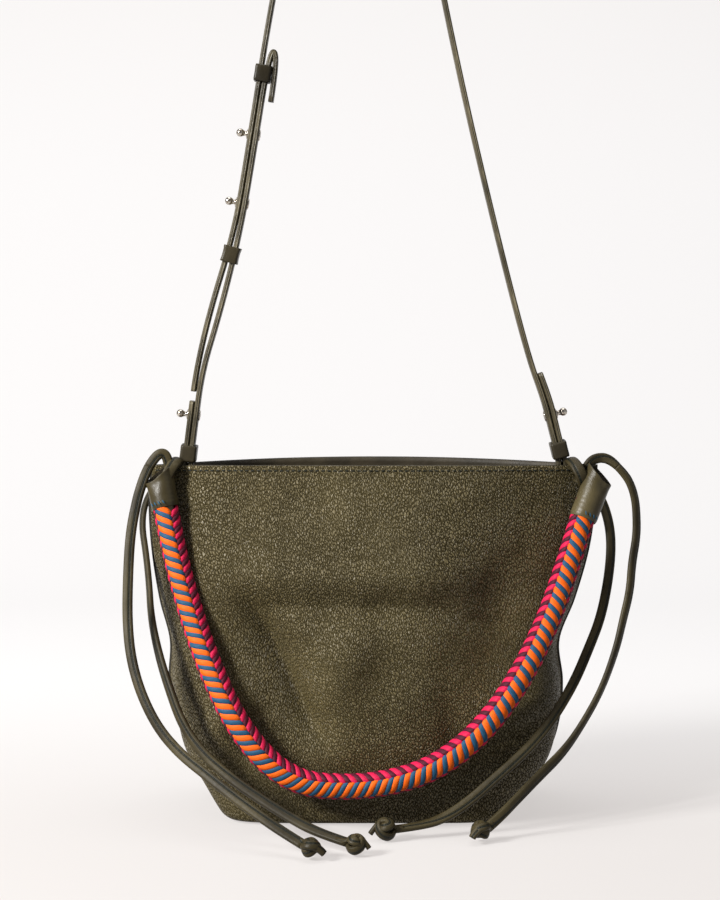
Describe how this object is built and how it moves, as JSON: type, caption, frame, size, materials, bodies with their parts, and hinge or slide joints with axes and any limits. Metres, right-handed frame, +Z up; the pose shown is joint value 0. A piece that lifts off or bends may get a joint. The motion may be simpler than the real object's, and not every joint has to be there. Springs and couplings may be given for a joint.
{
  "type": "leather bucket shoulder bag",
  "caption": "Soft leather bucket bag with a braided rope shoulder handle tied on by folded laces and a long crossbody strap held by ball studs and sliding keepers.",
  "frame": {"origin": "middle of the resting face of the base, on the floor", "axes": "+X to the viewer's right across the bag, +Y from the front with the hanging handle to the back, +Z up"},
  "size_m": [0.4181, 0.2496, 0.898],
  "materials": {
    "pebbled_leather": "satin pebbled grain",
    "lace_leather": "satin, folded and stitched",
    "facing_leather": "matt smooth",
    "edge_piping": "painted edge",
    "nickel": "polished, slightly aged",
    "board": "matt",
    "braid_strips": "satin strips in orange, blue, magenta and maroon",
    "rope_core": "twisted cotton"
  },
  "bodies": {
    "bag": {"base_panel": "pebbled_leather", "base_board": "board", "front_panel": "pebbled_leather", "back_panel": "pebbled_leather", "front_rim_facing": "facing_leather", "back_rim_facing": "facing_leather", "side_piping_left": "edge_piping", "side_piping_right": "edge_piping", "strap_root_left": "pebbled_leather", "strap_root_right": "pebbled_leather", "anchor_ring_left": "nickel", "anchor_ring_right": "nickel", "anchor_tab_left": "pebbled_leather", "anchor_tab_right": "pebbled_leather", "end_keeper_left": "pebbled_leather", "end_keeper_right": "pebbled_leather", "lace_loop_left": "lace_leather", "lace_loop_right": "lace_leather", "lace_tail_outer_left": "lace_leather", "lace_tail_outer_right": "lace_leather", "lace_tail_inner_left": "lace_leather", "lace_tail_inner_right": "lace_leather", "lace_knot_outer_left": "lace_leather", "lace_knot_outer_right": "lace_leather", "lace_knot_inner_left": "lace_leather", "lace_knot_inner_right": "lace_leather"},
    "handle": {"handle_core": "rope_core", "braid_cover": "braid_strips", "handle_sleeve_left": "pebbled_leather", "handle_sleeve_right": "pebbled_leather"},
    "strap": {"long_strap": "pebbled_leather", "long_strap_tail": "pebbled_leather", "short_strap_tail": "pebbled_leather", "short_strap": "pebbled_leather", "end_stud_right": "nickel", "end_screw_right": "nickel", "end_stud_left": "nickel", "end_screw_left": "nickel", "low_stud_left": "nickel", "low_screw_left": "nickel", "high_stud_left": "nickel", "high_screw_left": "nickel"},
    "keeper_middle": {"middle_keeper": "pebbled_leather"},
    "keeper_top": {"top_keeper": "pebbled_leather"}
  },
  "joints": [
    {"name": "handle_swing", "type": "hinge", "parent": "bag", "child": "handle", "pos_m": [0, -0.019, 0.262], "axis": [1, 0, 0], "range_deg": [-140, 0]},
    {"name": "strap_swing", "type": "hinge", "parent": "bag", "child": "strap", "pos_m": [0, 0.0018, 0.299], "axis": [1, 0, 0], "range_deg": [-95, 10]},
    {"name": "keeper_middle_slide", "type": "slide", "parent": "strap", "child": "keeper_middle", "axis": [0.2694, 0, 0.963], "range_m": [-0.012, 0.008]},
    {"name": "keeper_top_slide", "type": "slide", "parent": "strap", "child": "keeper_top", "axis": [0.1603, 0, 0.9871], "range_m": [-0.02, 0.002]}
  ]
}
